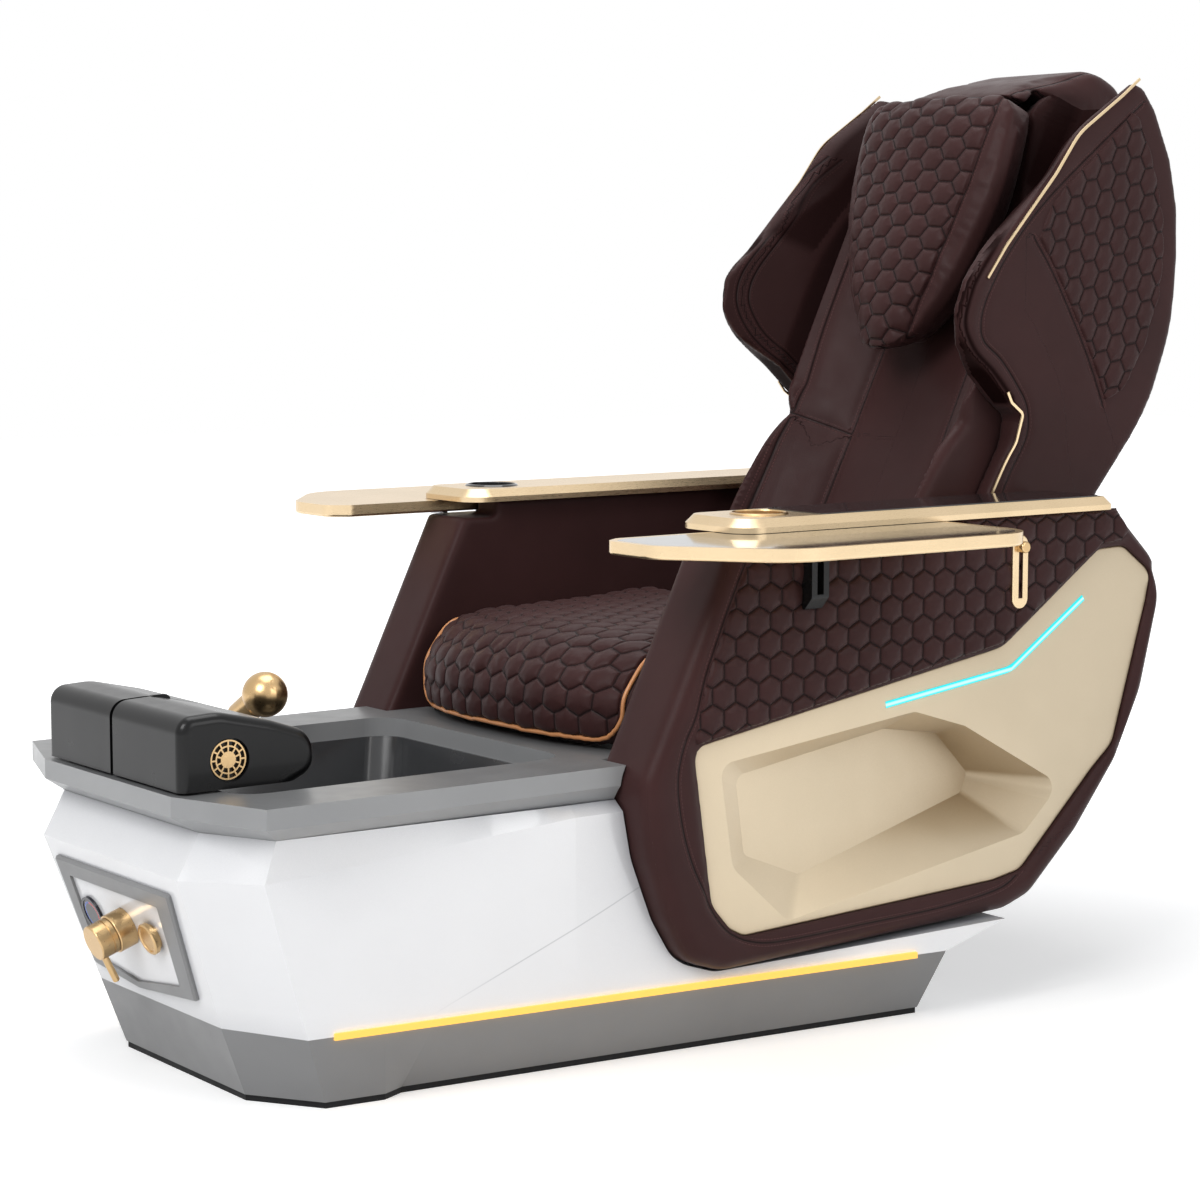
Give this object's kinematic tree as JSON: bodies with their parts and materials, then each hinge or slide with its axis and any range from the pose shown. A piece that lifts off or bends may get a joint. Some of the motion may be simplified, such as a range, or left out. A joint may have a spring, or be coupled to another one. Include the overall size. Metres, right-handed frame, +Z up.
{
  "type": "pedicure spa chair",
  "caption": "Reclining salon armchair over a footbath tub, with swing-out trays, tilting footrest, mixer tap, swivel spout and water jet.",
  "frame": {"origin": "on the floor under the base, in the middle plane of the chair", "axes": "+X to the occupant's left, +Y from the tub to the backrest, +Z up"},
  "size_m": [1.248, 1.8806, 1.443],
  "materials": {
    "plinth_black": "matt black moulded plinth",
    "skirt_grey": "satin grey moulding",
    "shell_white": "white gloss moulding",
    "rim_grey": "satin grey moulding",
    "basin_grey": "dark grey gloss basin",
    "drain_chrome": "polished",
    "jet_black": "fine grain black moulding",
    "light_amber": "lit amber diffuser",
    "light_cyan": "lit cyan diffuser",
    "disc_face": "dark disc with a red and a blue arc",
    "gold_polished": "polished champagne gold",
    "gold_satin": "brushed champagne gold",
    "insert_gold": "satin champagne gold lacquer",
    "inlay_black": "high gloss black",
    "pad_black": "glossy black moulded pad",
    "steel_dark": "black powder coat",
    "alloy_black": "cast alloy, black coated",
    "steel_plain": "ground steel",
    "leather_brown": "dark brown leather, stitched and quilted",
    "leather_shell": "dark brown grained moulding"
  },
  "bodies": {
    "root": {"plinth": "plinth_black", "skirt": "skirt_grey", "base_shell": "shell_white", "tub_rim": "rim_grey", "basin": "basin_grey", "drain_body": "drain_chrome", "jet_housing": "jet_black", "jet_cover": "jet_black", "base_light_left": "light_amber", "base_light_right": "light_amber", "control_frame": "skirt_grey", "control_plate": "shell_white", "temperature_disc": "disc_face", "mixer_body": "gold_polished", "spout_base": "gold_polished", "footrest_bracket": "steel_dark", "footrest_shaft": "steel_plain", "seat_base": "jet_black", "seat_pan": "steel_dark", "seat_cushion": "leather_brown", "panel_left": "leather_brown", "panel_right": "leather_brown", "insert_left": "insert_gold", "insert_right": "insert_gold", "side_light_left": "light_cyan", "side_light_right": "light_cyan", "armrest_left": "gold_satin", "armrest_right": "gold_satin", "armrest_inlay_left": "inlay_black", "cup_holder_left": "gold_polished", "cup_holder_right": "inlay_black", "tray_pins": "steel_plain", "tray_support_left": "steel_dark", "tray_support_right": "steel_dark", "release_plate_left": "gold_satin", "release_plate_right": "gold_satin", "hinge_brackets": "steel_dark", "hinge_pins": "steel_plain"},
    "back": {"back_frame": "alloy_black", "back_shell": "leather_shell", "back_cushion": "leather_brown", "wing_left": "leather_brown", "wing_right": "leather_brown", "wing_trims": "gold_satin", "headrest_pillow": "leather_brown", "headrest_hood": "leather_brown"},
    "tray_left": {"tray_left": "gold_satin", "tray_top_left": "inlay_black"},
    "tray_right": {"tray_right": "gold_satin"},
    "knob_left": {"release_knob_left": "gold_polished"},
    "knob_right": {"release_knob_right": "gold_polished"},
    "footrest": {"footrest_pad_left": "pad_black", "footrest_pad_right": "pad_black", "footrest_grilles": "gold_polished"},
    "mixer": {"mixer_handle": "gold_polished"},
    "diverter": {"diverter_button": "gold_polished"},
    "spout": {"spout_arm": "gold_polished", "spout_head": "gold_polished"},
    "stopper": {"drain_stopper": "drain_chrome"},
    "impeller": {"jet_impeller": "jet_black"}
  },
  "joints": [
    {"name": "back_recline", "type": "hinge", "parent": "root", "child": "back", "pos_m": [0, 0.64356, 0.46646], "axis": [-1, 0, 0], "range_deg": [0, 20]},
    {"name": "tray_left_swing", "type": "hinge", "parent": "root", "child": "tray_left", "pos_m": [0.387, 0.15, 0.744], "axis": [0, 0, -1], "range_deg": [0, 90]},
    {"name": "tray_right_swing", "type": "hinge", "parent": "root", "child": "tray_right", "pos_m": [-0.387, 0.15, 0.744], "axis": [0, 0, 1], "range_deg": [0, 90]},
    {"name": "release_left_slide", "type": "slide", "parent": "root", "child": "knob_left", "axis": [0, 0, -1], "range_m": [0, 0.074]},
    {"name": "release_right_slide", "type": "slide", "parent": "root", "child": "knob_right", "axis": [0, 0, -1], "range_m": [0, 0.074]},
    {"name": "footrest_tilt", "type": "hinge", "parent": "root", "child": "footrest", "pos_m": [0, -0.566, 0.475], "axis": [-1, 0, 0], "range_deg": [0, 20]},
    {"name": "mixer_turn", "type": "hinge", "parent": "root", "child": "mixer", "pos_m": [-0.008, -0.64209, 0.21112], "axis": [0, -0.9442, -0.3294], "range_deg": [-50, 50]},
    {"name": "diverter_press", "type": "slide", "parent": "root", "child": "diverter", "axis": [0, 0.9442, 0.3294], "range_m": [0, 0.004], "stiffness_N_per_m": 800, "springref_m": -0.003},
    {"name": "spout_swivel", "type": "hinge", "parent": "root", "child": "spout", "pos_m": [-0.292, -0.275, 0.445], "axis": [0, 0, 1], "range_deg": [-55, 60]},
    {"name": "stopper_lift", "type": "slide", "parent": "root", "child": "stopper", "axis": [0, 0, 1], "range_m": [0, 0.008]},
    {"name": "jet_spin", "type": "hinge", "parent": "root", "child": "impeller", "pos_m": [0, -0.069, 0.30235], "axis": [0, -0.9757, 0.2193], "continuous": true}
  ]
}
